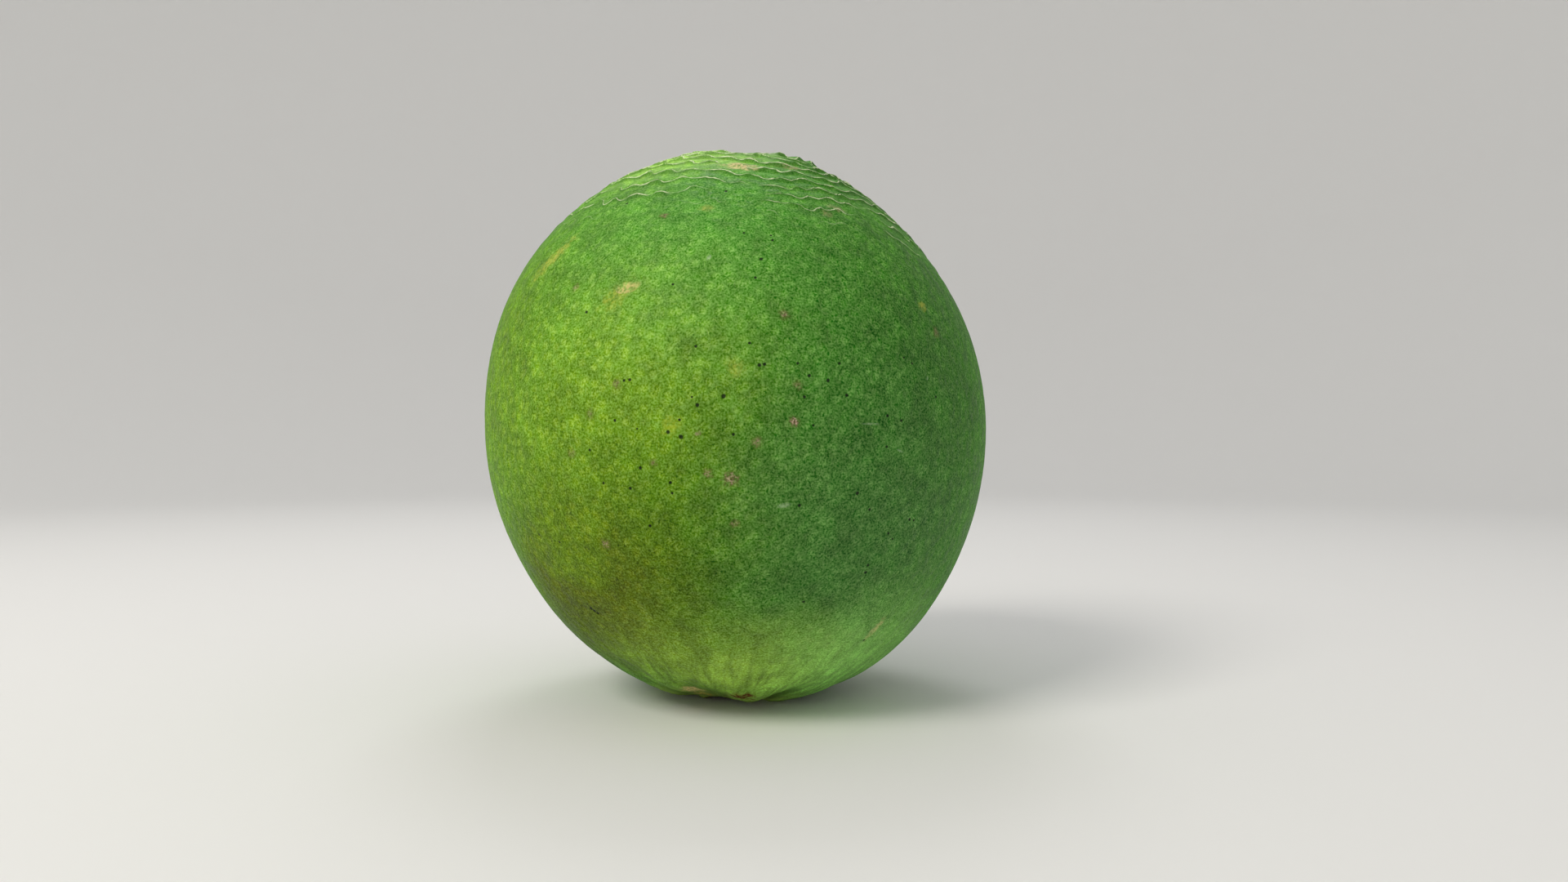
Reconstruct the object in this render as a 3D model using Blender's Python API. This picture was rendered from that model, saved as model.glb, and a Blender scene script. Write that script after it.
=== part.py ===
"""A green lemon, as picked: one solid fruit that stands on the shoulder round its stem end.

The rind starts as a UV sphere. Each vertex is moved along its own direction from the middle
of the fruit by the body's radius and by the relief of the two ends. Lengths are millimetres
until the last step, +Z is up and the front of the fruit faces -Y.
"""

import math

import bmesh
import bpy
import numpy as np
from mathutils import Matrix, Vector, noise

MM = 0.001

# Body: the half sizes of the plain ovoid, and how high its middle stands over the table
HALF_WIDTH = 28.0
HALF_DEPTH = 27.7
HALF_HEIGHT = 30.75
MIDDLE_HEIGHT = 30.25

# The fruit's own axis leans a little: the blossom end back and to the right
LEAN_BACK = 4.0
LEAN_RIGHT = 2.2

# Full and flat places of the body: degrees round from +X, degrees down from the top,
# spread in degrees, and millimetres out of the plain ovoid
SWELLS = {
    "upper left shoulder": (180.0, 56.0, 32.0, 0.95),
    "upper right flat": (0.0, 42.0, 28.0, -0.55),
    "lower right cheek": (0.0, 150.0, 26.0, 1.0),
    "lower left flat": (180.0, 130.0, 26.0, -0.15),
    "left foot": (195.0, 169.0, 10.0, 0.55),
    "front belly": (265.0, 118.0, 40.0, 0.3),
    "back flat": (70.0, 70.0, 45.0, -0.5),
    "back cheek": (110.0, 140.0, 35.0, 0.7),
}

# Low lumps all over
LUMP_SIZE = 11.0
LUMP_HEIGHT = 0.16

# Blossom end: a low flat-topped crown with the stylar scar in its middle
CROWN_RADIUS = 7.4
CROWN_SPREAD = 2.5
CROWN_HEIGHT = 0.55
# The rim stands this much higher at its left and right, and lower at its front and back
CROWN_SWAY = 0.36
CROWN_HOLLOW = 0.4
# Folds across the crown's rim: degrees round it, depth, and width
CROWN_FOLDS = {
    "front": (266.0, 0.5, 1.3),
    "left": (190.0, 0.3, 1.0),
    "right back": (40.0, 0.45, 1.4),
    "back": (120.0, 0.25, 1.2),
}
STYLAR_SCAR_RADIUS = 1.1
STYLAR_SCAR_DEPTH = 0.4

# Wavy ridges round the blossom end: how far apart and how high they are, the size of their
# waves and how many spacings these wander, the same for their slower drift, and where they
# break up and fade out
RIDGE_SPACING = 2.1
RIDGE_HEIGHT = 0.3
RIDGE_WAVE_SIZE = 4.6
RIDGE_WANDER = 0.45
RIDGE_DRIFT_SIZE = 13.0
RIDGE_DRIFT = 0.9
RIDGE_SHARPNESS = 1.5
RIDGE_MEAN = 0.4
RIDGE_BREAKS = (-0.6, 0.15)
RIDGE_BREAKS_PLACE = Vector((7.3, 2.1, 5.7))
RIDGE_START = (1.1, 3.3)
RIDGE_FADE = (13.0, 27.0)
RIDGE_REACH_RIGHT = 4.0

# Stem end: a shallow bowl, the lobed corky scar in it with the pit where the stalk sat, and
# fine pleats and deeper furrows that run into it
BOWL_RADIUS = 6.8
BOWL_DEPTH = 2.1
SCAR_RADIUS = 3.4
SCAR_EDGE = 0.5
SCAR_LOBES = 5
SCAR_LOBE_DEPTH = 0.35
SCAR_HEIGHT = 0.7
STALK_PIT_RADIUS = 0.9
STALK_PIT_DEPTH = 0.4
PLEATS = 9
PLEAT_DEPTH = 0.12
FURROW_START = 4.0
FURROW_END = 17.0
# Furrows: degrees round the stem end, depth, and width
FURROWS = {
    "front dip": (255.0, 0.7, 2.6),
    "left front": (229.0, 0.42, 1.0),
    "right front": (311.0, 0.75, 0.85),
    "right": (345.0, 0.4, 1.2),
    "right back": (40.0, 0.35, 1.1),
    "back": (98.0, 0.5, 1.2),
    "left back": (150.0, 0.3, 1.1),
    "left": (200.0, 0.38, 1.3),
}

# Mesh: segments round the fruit's axis, rings from end to end, and how much closer the rings
# lie within so many degrees of each end
SEGMENTS = 76
RINGS = 78
CROWN_RING_GAIN = 3.2
CROWN_RING_ANGLE = 54.0
STEM_RING_GAIN = 1.4
STEM_RING_ANGLE = 28.0
RING_SAMPLES = 1801


def smooth_step(low, high, value):
    """0 below low, 1 above high, and a smooth rise between them."""
    share = min(max((value - low) / (high - low), 0.0), 1.0)
    return share * share * (3.0 - 2.0 * share)


def bell(value, width):
    """1 at 0, falling off smoothly to about a third at width."""
    return math.exp(-((value / width) ** 2))


def direction_of(azimuth, polar):
    """The unit vector at so many degrees round from +X and down from +Z."""
    turn = math.radians(azimuth)
    tip = math.radians(polar)
    return Vector((math.sin(tip) * math.cos(turn), math.sin(tip) * math.sin(turn), math.cos(tip)))


def lean():
    """Turns the fruit's own axis, which is +Z as modelled, into its place."""
    back = Matrix.Rotation(math.radians(-LEAN_BACK), 3, "X")
    right = Matrix.Rotation(math.radians(LEAN_RIGHT), 3, "Y")
    return back @ right


SWELL_DIRECTIONS = [
    (direction_of(azimuth, polar), math.radians(spread), height)
    for azimuth, polar, spread, height in SWELLS.values()
]


def body_radius(way):
    """Radius of the fruit's body in the direction way, without the relief of its ends."""
    plain = 1.0 / math.sqrt(
        (way.x / HALF_WIDTH) ** 2 + (way.y / HALF_DEPTH) ** 2 + (way.z / HALF_HEIGHT) ** 2
    )
    swells = sum(
        height * bell(way.angle(middle), spread)
        for middle, spread, height in SWELL_DIRECTIONS
    )
    lumps = LUMP_HEIGHT * noise.noise(way * plain / LUMP_SIZE)
    return plain + swells + lumps


def grooves_at(grooves, away, round_axis):
    """Depth of the radial grooves at a distance from an end's middle and an angle round it."""
    depth_here = 0.0
    for azimuth, depth, width in grooves.values():
        turn = math.remainder(round_axis - math.radians(azimuth), 2 * math.pi)
        depth_here += depth * bell(turn * away, width)
    return depth_here


def crown_relief(away, round_axis):
    """The blossom end's flat-topped mound with its folded rim and the scar in its middle."""
    rim = CROWN_HEIGHT + CROWN_SWAY * math.cos(2 * round_axis)
    rim -= grooves_at(CROWN_FOLDS, away, round_axis)
    rim *= bell(away - CROWN_RADIUS, CROWN_SPREAD)
    hollow = CROWN_HOLLOW * bell(away, CROWN_RADIUS / 2)
    scar = STYLAR_SCAR_DEPTH * bell(away, STYLAR_SCAR_RADIUS)
    return rim - hollow - scar


def ridge_relief(away, round_axis, place):
    """Wavy terraces that ring the blossom end, broken up and fading outwards."""
    reach = RIDGE_REACH_RIGHT * max(0.0, math.cos(round_axis))
    fade = 1.0 - smooth_step(RIDGE_FADE[0], RIDGE_FADE[1] + reach, away)
    if fade == 0.0:
        return 0.0
    fade *= smooth_step(*RIDGE_START, away)
    wander = RIDGE_WANDER * noise.noise(place / RIDGE_WAVE_SIZE)
    wander += RIDGE_DRIFT * noise.noise(place / RIDGE_DRIFT_SIZE)
    phase = 2 * math.pi * (away / RIDGE_SPACING + wander)
    crest = (0.5 + 0.5 * math.cos(phase)) ** RIDGE_SHARPNESS
    breaks = smooth_step(*RIDGE_BREAKS, noise.noise(place / RIDGE_WAVE_SIZE + RIDGE_BREAKS_PLACE))
    return RIDGE_HEIGHT * fade * breaks * (crest - RIDGE_MEAN)


def stem_relief(away, round_axis):
    """The bowl, the lobed scar in it and the furrows that run down into it."""
    bowl = BOWL_DEPTH * max(0.0, 1.0 - (away / BOWL_RADIUS) ** 2) ** 2
    scar_reach = SCAR_RADIUS + SCAR_LOBE_DEPTH * math.cos(SCAR_LOBES * round_axis)
    scar = SCAR_HEIGHT * (1.0 - smooth_step(scar_reach - SCAR_EDGE, scar_reach + SCAR_EDGE, away))
    pit = STALK_PIT_DEPTH * bell(away, STALK_PIT_RADIUS)
    run = smooth_step(FURROW_START, BOWL_RADIUS, away) * (
        1.0 - smooth_step(BOWL_RADIUS, FURROW_END, away)
    )
    pleats = PLEAT_DEPTH * (0.5 - 0.5 * math.cos(PLEATS * round_axis))
    furrows = grooves_at(FURROWS, away, round_axis)
    return scar - bowl - pit - run * (pleats + furrows)


def surface_point(way, to_own_axis):
    """The rind's point in the direction way, from the fruit's middle."""
    radius = body_radius(way)
    own = to_own_axis @ way
    round_axis = math.atan2(own.y, own.x)
    from_crown = math.acos(max(-1.0, min(1.0, own.z))) * HALF_HEIGHT
    from_stem = math.pi * HALF_HEIGHT - from_crown
    if from_crown < from_stem:
        radius += crown_relief(from_crown, round_axis)
        radius += ridge_relief(from_crown, round_axis, way * radius)
    else:
        radius += stem_relief(from_stem, round_axis)
    return way * radius


def ring_angles():
    """Polar angles of the rings, which lie closer together where the two ends have relief."""
    fine = np.linspace(0.0, math.pi, RING_SAMPLES)
    crown = CROWN_RING_GAIN * np.exp(-((fine / math.radians(CROWN_RING_ANGLE)) ** 4))
    stem = STEM_RING_GAIN * np.exp(-(((math.pi - fine) / math.radians(STEM_RING_ANGLE)) ** 4))
    density = 1.0 + crown + stem
    run = np.concatenate([[0.0], np.cumsum((density[1:] + density[:-1]) / 2)])
    return np.interp(np.linspace(0.0, run[-1], RINGS + 1), run, fine)


def make_rind():
    """The fruit as one closed mesh, in metres, standing on the table over the origin."""
    mesh_data = bmesh.new()
    bmesh.ops.create_uvsphere(mesh_data, u_segments=SEGMENTS, v_segments=RINGS, radius=1.0)
    polar_of_ring = ring_angles()
    own_axis = lean()
    to_own_axis = own_axis.transposed()
    for vertex in mesh_data.verts:
        ring = round(math.acos(max(-1.0, min(1.0, vertex.co.z))) / math.pi * RINGS)
        azimuth = math.degrees(math.atan2(vertex.co.y, vertex.co.x))
        way = own_axis @ direction_of(azimuth, math.degrees(polar_of_ring[ring]))
        vertex.co = surface_point(way, to_own_axis)
        # What would reach below the table is pressed flat
        vertex.co.z = max(vertex.co.z + MIDDLE_HEIGHT, 0.0)
    across = [vertex.co.x for vertex in mesh_data.verts]
    along = [vertex.co.y for vertex in mesh_data.verts]
    middle = Vector((min(across) + max(across), min(along) + max(along), 0.0)) / 2
    bmesh.ops.translate(mesh_data, verts=mesh_data.verts, vec=-middle)
    bmesh.ops.scale(mesh_data, verts=mesh_data.verts, vec=(MM, MM, MM))
    bmesh.ops.recalc_face_normals(mesh_data, faces=mesh_data.faces)
    mesh = bpy.data.meshes.new("lemon")
    mesh_data.to_mesh(mesh)
    mesh_data.free()
    mesh.shade_smooth()
    return mesh


def rind_material():
    """Waxy green lemon rind."""
    material = bpy.data.materials.new("green_rind")
    material.use_nodes = True
    shader = material.node_tree.nodes["Principled BSDF"]
    shader.inputs["Base Color"].default_value = (0.075, 0.25, 0.03, 1.0)
    shader.inputs["Roughness"].default_value = 0.5
    shader.inputs["Metallic"].default_value = 0.0
    return material


def main():
    for old in list(bpy.data.objects):
        bpy.data.objects.remove(old)
    collection = bpy.data.collections.new("Lemon")
    bpy.context.scene.collection.children.link(collection)
    lemon = bpy.data.objects.new("lemon", make_rind())
    lemon.data.materials.append(rind_material())
    collection.objects.link(lemon)


main()
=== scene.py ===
import math
import random

import bmesh
import bpy
import numpy as np
from mathutils import Matrix, Vector, noise
from mathutils.bvhtree import BVHTree
from mathutils.kdtree import KDTree


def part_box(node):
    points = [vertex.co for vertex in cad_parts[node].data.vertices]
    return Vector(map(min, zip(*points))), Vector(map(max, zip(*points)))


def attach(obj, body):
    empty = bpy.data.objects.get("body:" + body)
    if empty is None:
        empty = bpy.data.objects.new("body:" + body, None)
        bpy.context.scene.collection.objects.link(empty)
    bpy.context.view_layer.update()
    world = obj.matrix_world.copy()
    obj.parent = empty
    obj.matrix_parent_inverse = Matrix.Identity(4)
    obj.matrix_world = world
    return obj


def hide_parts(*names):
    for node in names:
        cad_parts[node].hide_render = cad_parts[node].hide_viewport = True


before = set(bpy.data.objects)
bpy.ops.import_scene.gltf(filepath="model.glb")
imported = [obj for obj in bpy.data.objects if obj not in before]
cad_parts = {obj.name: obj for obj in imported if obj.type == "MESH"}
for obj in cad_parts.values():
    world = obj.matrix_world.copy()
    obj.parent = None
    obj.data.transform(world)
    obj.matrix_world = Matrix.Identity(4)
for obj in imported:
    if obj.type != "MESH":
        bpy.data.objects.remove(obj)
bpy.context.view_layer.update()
mm = 0.001
farAway = 99.0  # a mark's or gland's offset where there is none near
noiseEnds = (0.25, 0.75)  # nearly all of a noise texture's values lie between these
noiseMiddle = (0.35, 0.65)  # and most of them between these

# The looks of one green lemon. Lengths are millimetres and angles degrees, unless a line says
# otherwise. +Z is up, and the side that the photograph shows faces -Y.

# The fruit's body: half sizes, how high its middle stands, and how its own axis leans
body = {
    "halfWidth": 28.0,
    "halfDepth": 27.7,
    "halfHeight": 30.75,
    "middleHeight": 30.25,
    "leanBack": 4.0,
    "leanRight": 2.2,
    "lumpSize": 11.0,
    "lumpHeight": 0.16,
    # Round from +X, down from the top, spread, and millimetres out of the plain ovoid
    "swells": {
        "upper left shoulder": (180.0, 56.0, 32.0, 0.95),
        "upper right flat": (0.0, 42.0, 28.0, -0.55),
        "lower right cheek": (0.0, 150.0, 26.0, 1.0),
        "lower left flat": (180.0, 130.0, 26.0, -0.15),
        "left foot": (195.0, 169.0, 10.0, 0.55),
        "front belly": (265.0, 118.0, 40.0, 0.3),
        "back flat": (70.0, 70.0, 45.0, -0.5),
        "back cheek": (110.0, 140.0, 35.0, 0.7),
    },
}

# The blossom end: a flat-topped crown, its folds and the wavy ridges round it
crown = {
    "radius": 7.4,
    "spread": 2.5,
    "height": 0.5,
    "sway": 0.36,  # the rim is higher at its left and right, lower at its front and back
    "hollow": 0.4,
    # Round the crown, depth, and width
    "folds": {
        "front": (266.0, 0.5, 1.3),
        "left": (190.0, 0.3, 1.0),
        "right back": (40.0, 0.45, 1.4),
        "back": (120.0, 0.25, 1.2),
    },
    "stylarScarRadius": 1.1,
    "stylarScarDepth": 0.4,
    "ridgeSpacing": 2.1,
    "ridgeHeight": 0.3,
    "ridgeWaveSize": 4.6,
    "ridgeWander": 0.45,
    "ridgeDriftSize": 13.0,
    "ridgeDrift": 0.9,
    "ridgeMean": 0.4,
    "ridgeDrop": 0.22,  # the share of a spacing in which a ridge falls away again
    "ridgeBreaks": (-0.6, 0.15),
    "ridgeBreaksPlace": (7.3, 2.1, 5.7),
    "ridgeStart": (3.5, 6.5),
    "ridgeFade": (13.0, 31.0),
    "ridgeReachRight": 4.0,
    # Small scallops along the rim and each ridge: their length, how far one ridge's are turned
    # from the next ridge's and how far their phase strays (both in radians), over what length it
    # does, the place that the stray is cut from, how tall they are (usual and least share, and how
    # much finer this changes than the phase), how far a crest sways (as a share of the spacing),
    # and how much taller it stands where it bulges out
    "scallopLength": 2.9,
    "scallopTurn": 2.4,
    "scallopStray": 3.0,
    "scallopStraySize": 4.0,
    "scallopPlace": (16.7, 9.5, 12.8),
    "scallopTall": (0.75, 0.2, 1.7),
    "scallopSway": 0.2,
    "scallopSwell": 0.6,
    "scallopRim": 0.2,
}

# The stem end: the bowl, the corky scar of the stalk, and the furrows that run into it
stemEnd = {
    "bowlRadius": 6.8,
    "bowlDepth": 2.1,
    "scarRadius": 3.4,
    "scarEdge": 0.5,
    "scarLobes": 5,
    "scarLobeDepth": 0.35,
    "scarHeight": 0.7,
    "stalkPitRadius": 0.9,
    "stalkPitDepth": 0.4,
    "pleats": 9,
    "pleatDepth": 0.12,
    # Fine creases: how many noise cells there are round the stem, how long they are, their depth,
    # and where they fade
    "creaseCells": 40.0,
    "creaseLength": 9.0,
    "creaseDepth": 0.3,
    "creaseFade": (9.0, 19.0),
    "furrowStart": 4.0,
    "furrowEnd": 17.0,
    "furrows": {
        "front dip": (255.0, 0.7, 2.6),
        "left front": (229.0, 0.42, 1.0),
        "right front": (311.0, 0.75, 0.85),
        "right": (345.0, 0.4, 1.2),
        "right back": (40.0, 0.35, 1.1),
        "back": (98.0, 0.5, 1.2),
        "left back": (150.0, 0.3, 1.1),
        "left": (200.0, 0.38, 1.3),
    },
}

# The skin's mesh: quads along each edge of the cube it starts as, and how much closer they
# lie at the crown
skinMesh = {"quads": 128, "crownGain": 0.3}

# The photograph's camera: level, looking along +Y, from so far, so high and so far aside
view = {
    "focalPixels": 1303.7,
    "imageSize": (1920, 1080),
    "sensorWidth": 36.0,
    "distance": 122.5,
    "height": 28.6,
    "aside": 5.4,
    "clipStart": 5.0,
}


def smoothStep(low, high, value):
    share = min(max((value - low) / (high - low), 0.0), 1.0)
    return share * share * (3.0 - 2.0 * share)


def bell(value, width):
    return math.exp(-((value / width) ** 2))


def directionOf(azimuth, polar):
    turn = math.radians(azimuth)
    tip = math.radians(polar)
    return Vector((math.sin(tip) * math.cos(turn), math.sin(tip) * math.sin(turn), math.cos(tip)))


def makeCamera():
    data = bpy.data.cameras.new("photoCamera")
    data.sensor_width = view["sensorWidth"]
    data.lens = view["focalPixels"] * view["sensorWidth"] / view["imageSize"][0]
    data.clip_start = view["clipStart"] * mm
    camera = bpy.data.objects.new("photoCamera", data)
    camera.location = Vector((view["aside"], -view["distance"], view["height"])) * mm
    camera.rotation_euler = (math.radians(90.0), 0.0, 0.0)
    bpy.context.scene.collection.objects.link(camera)
    bpy.context.scene.camera = camera
    return camera


def groovesAt(grooves, away, turn):
    depthHere = 0.0
    for azimuth, depth, width in grooves.values():
        aside = math.remainder(turn - math.radians(azimuth), 2 * math.pi)
        depthHere += depth * bell(aside * away, width)
    return depthHere


def bodyRadius(way, swells):
    plain = 1.0 / math.sqrt(
        (way.x / body["halfWidth"]) ** 2
        + (way.y / body["halfDepth"]) ** 2
        + (way.z / body["halfHeight"]) ** 2
    )
    swollen = sum(height * bell(way.angle(middle), spread) for middle, spread, height in swells)
    return plain + swollen + body["lumpHeight"] * noise.noise(way * plain / body["lumpSize"])


# The scallops along the ridge of one number, from -1 in to 1 out
def scallopAt(number, turn, place):
    ring = body["halfHeight"] * math.sin(number * crown["ridgeSpacing"] / body["halfHeight"])
    waves = round(2 * math.pi * ring / crown["scallopLength"])
    strayPlace = place / crown["scallopStraySize"] + Vector(crown["scallopPlace"])
    stray = crown["scallopStray"] * noise.noise(strayPlace)
    usual, least, finer = crown["scallopTall"]
    tall = min(1.0, max(least, usual + noise.noise(strayPlace * finer)))
    return tall * math.sin(waves * turn + crown["scallopTurn"] * number + stray)


def crownRelief(away, turn, place):
    rim = crown["height"] + crown["sway"] * math.cos(2 * turn)
    number = crown["radius"] / crown["ridgeSpacing"]
    rim += crown["scallopRim"] * scallopAt(number, turn, place)
    rim -= groovesAt(crown["folds"], away, turn)
    rim *= bell(away - crown["radius"], crown["spread"])
    hollow = crown["hollow"] * bell(away, crown["radius"] / 2)
    return rim - hollow - crown["stylarScarDepth"] * bell(away, crown["stylarScarRadius"])


# How many ridges out a point is, how strong they are there, and their relief
def ridgesAt(away, turn, place):
    reach = crown["ridgeReachRight"] * max(0.0, math.cos(turn))
    fade = 1.0 - smoothStep(crown["ridgeFade"][0], crown["ridgeFade"][1] + reach, away)
    wander = crown["ridgeWander"] * noise.noise(place / crown["ridgeWaveSize"])
    wander += crown["ridgeDrift"] * noise.noise(place / crown["ridgeDriftSize"])
    count = away / crown["ridgeSpacing"] + wander
    number = round(count)
    scallop = scallopAt(number, turn, place) * math.cos(math.pi * (count - number)) ** 2
    count += crown["scallopSway"] * scallop
    breaksPlace = place / crown["ridgeWaveSize"] + Vector(crown["ridgeBreaksPlace"])
    breaks = smoothStep(*crown["ridgeBreaks"], noise.noise(breaksPlace))
    strength = fade * breaks * smoothStep(*crown["ridgeStart"], away)
    along = (count - crown["ridgeDrop"]) % 1.0  # a slow rise to the crest, then the drop
    rise = along / (1.0 - crown["ridgeDrop"])
    fall = (1.0 - along) / crown["ridgeDrop"]
    crest = smoothStep(0.0, 1.0, min(rise, fall))
    tall = crown["ridgeHeight"] * (1.0 + crown["scallopSwell"] * scallop)
    return count, strength, tall * strength * (crest - crown["ridgeMean"])


# The stem end's relief, and how deep in a furrow a point is
def stemRelief(away, turn):
    bowl = stemEnd["bowlDepth"] * max(0.0, 1.0 - (away / stemEnd["bowlRadius"]) ** 2) ** 2
    lobes = stemEnd["scarLobeDepth"] * math.cos(stemEnd["scarLobes"] * turn)
    reach = stemEnd["scarRadius"] + lobes
    edge = stemEnd["scarEdge"]
    scar = stemEnd["scarHeight"] * (1.0 - smoothStep(reach - edge, reach + edge, away))
    pit = stemEnd["stalkPitDepth"] * bell(away, stemEnd["stalkPitRadius"])
    run = smoothStep(stemEnd["furrowStart"], stemEnd["bowlRadius"], away)
    run *= 1.0 - smoothStep(stemEnd["bowlRadius"], stemEnd["furrowEnd"], away)
    pleats = stemEnd["pleatDepth"] * (0.5 - 0.5 * math.cos(stemEnd["pleats"] * turn))
    furrows = run * (pleats + groovesAt(stemEnd["furrows"], away, turn))
    ring = stemEnd["creaseCells"] / (2 * math.pi)
    along = away / stemEnd["creaseLength"]
    crease = noise.noise(Vector((ring * math.cos(turn), ring * math.sin(turn), along)))
    crease *= stemEnd["creaseDepth"] * smoothStep(stemEnd["furrowStart"], stemEnd["bowlRadius"], away)
    crease *= 1.0 - smoothStep(*stemEnd["creaseFade"], away)
    return scar - bowl - pit - furrows - crease, furrows


# A cube split into equal angles and blown up to a sphere, so the quads are near the same size
def sphereOfQuads():
    cube = bmesh.new()
    bmesh.ops.create_cube(cube, size=2.0)
    bmesh.ops.subdivide_edges(
        cube, edges=cube.edges, cuts=skinMesh["quads"] - 1, use_grid_fill=True
    )
    for vertex in cube.verts:
        spread = Vector(math.tan(math.radians(45.0) * side) for side in vertex.co)
        way = spread.normalized()
        polar = math.acos(max(-1.0, min(1.0, way.z)))
        closer = skinMesh["crownGain"] * math.sin(polar) * (1.0 + math.cos(polar)) / 2
        azimuth = math.degrees(math.atan2(way.y, way.x))
        vertex.co = directionOf(azimuth, math.degrees(polar - closer))
    return cube


def keepValues(mesh, name, values):
    values = np.asarray(values, np.float32)
    kinds = {1: ("FLOAT", "value"), 3: ("FLOAT_VECTOR", "vector"), 4: ("FLOAT_COLOR", "color")}
    kind, field = kinds[values.size // len(values)]
    mesh.attributes.new(name, kind, "POINT").data.foreach_set(field, values.ravel())


def makeSkin():
    sphere = sphereOfQuads()
    lean = Matrix.Rotation(math.radians(-body["leanBack"]), 3, "X")
    lean = lean @ Matrix.Rotation(math.radians(body["leanRight"]), 3, "Y")
    swells = [
        (directionOf(azimuth, polar), math.radians(spread), height)
        for azimuth, polar, spread, height in body["swells"].values()
    ]
    # What the rind's material asks of each point
    names = ("ridgeCount", "ridgeStrength", "fromCrown", "fromStem", "furrow", "ownTurn")
    facts = {name: [] for name in names}
    for vertex in sphere.verts:
        own = vertex.co.copy()
        way = lean @ own
        radius = bodyRadius(way, swells)
        turn = math.atan2(own.y, own.x)
        fromCrown = math.acos(max(-1.0, min(1.0, own.z))) * body["halfHeight"]
        fromStem = math.pi * body["halfHeight"] - fromCrown
        count, strength, furrow = 0.0, 0.0, 0.0
        if fromCrown < fromStem:
            radius += crownRelief(fromCrown, turn, way * radius)
            count, strength, relief = ridgesAt(fromCrown, turn, way * radius)
        else:
            relief, furrow = stemRelief(fromStem, turn)
        vertex.co = way * (radius + relief)
        vertex.co.z = max(vertex.co.z + body["middleHeight"], 0.0)
        onCircle = (math.cos(turn), math.sin(turn), 0.0)
        for name, value in zip(facts, (count, strength, fromCrown, fromStem, furrow, onCircle)):
            facts[name].append(value)
    mesh = bpy.data.meshes.new("lemonSkin")
    sphere.to_mesh(mesh)
    sphere.free()
    # Set over the middle of the CAD solid
    places = np.zeros(len(mesh.vertices) * 3)
    mesh.vertices.foreach_get("co", places)
    places = places.reshape(-1, 3)
    low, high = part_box("lemon")
    cadMiddle = np.array((low + high) / 2 / mm)
    middle = (places.min(0) + places.max(0)) / 2
    places[:, :2] += (cadMiddle - middle)[:2]
    mesh.vertices.foreach_set("co", (places * mm).ravel())
    keepValues(mesh, "restMm", places)
    for name, values in facts.items():
        keepValues(mesh, name, values)
    mesh.shade_smooth()
    mesh.update()
    skin = bpy.data.objects.new("lemonSkin", mesh)
    bpy.context.scene.collection.objects.link(skin)
    print("skin: %d faces" % len(mesh.polygons))
    return skin


# The skin's points in millimetres, and a tree of its faces for casting rays on to
def skinPoints(mesh):
    places = np.zeros(len(mesh.vertices) * 3)
    mesh.vertices.foreach_get("co", places)
    faces = [face.vertices for face in mesh.polygons]
    return places.reshape(-1, 3) / mm, BVHTree.FromPolygons([v.co for v in mesh.vertices], faces)


# Where the skin is in a direction out of the fruit's middle
def skinAlong(tree, way):
    middle = Vector((0.0, 0.0, body["middleHeight"] * mm))
    outside = 100 * mm
    return tree.ray_cast(middle + way * outside, -way)[:2]


# Where the skin is at a pixel of the photograph
def skinAtPixel(tree, camera, pixel):
    width, height = view["imageSize"]
    right, down = pixel[0] - width / 2, pixel[1] - height / 2
    way = Vector((right, view["focalPixels"], -down)).normalized()
    place, normal = tree.ray_cast(camera.location, way)[:2]
    if place is None:  # just past the outline: the nearest skin
        middle = Vector((0.0, 0.0, body["middleHeight"] * mm))
        reach = (middle - camera.location).dot(way)
        place, normal = tree.find_nearest(camera.location + way * reach)[:2]
    return place, normal


# Oil glands: little pits, laid out as evenly as on any citrus rind
glands = {
    "spacing": 1.25,
    "rowGap": 0.866,  # between even rows, as a share of the spacing
    "stray": 0.384,  # from the even layout, as a share of the spacing
    "pitWidth": 0.42,
    "pitDepth": 0.05,
    "sets": 5,
    "neighbours": 1.7,  # glands nearer than this many spacings go into different sets
    "reach": 1.0,  # how far from a gland the vertices hold where it is
    "seed": 5,
}


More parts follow.
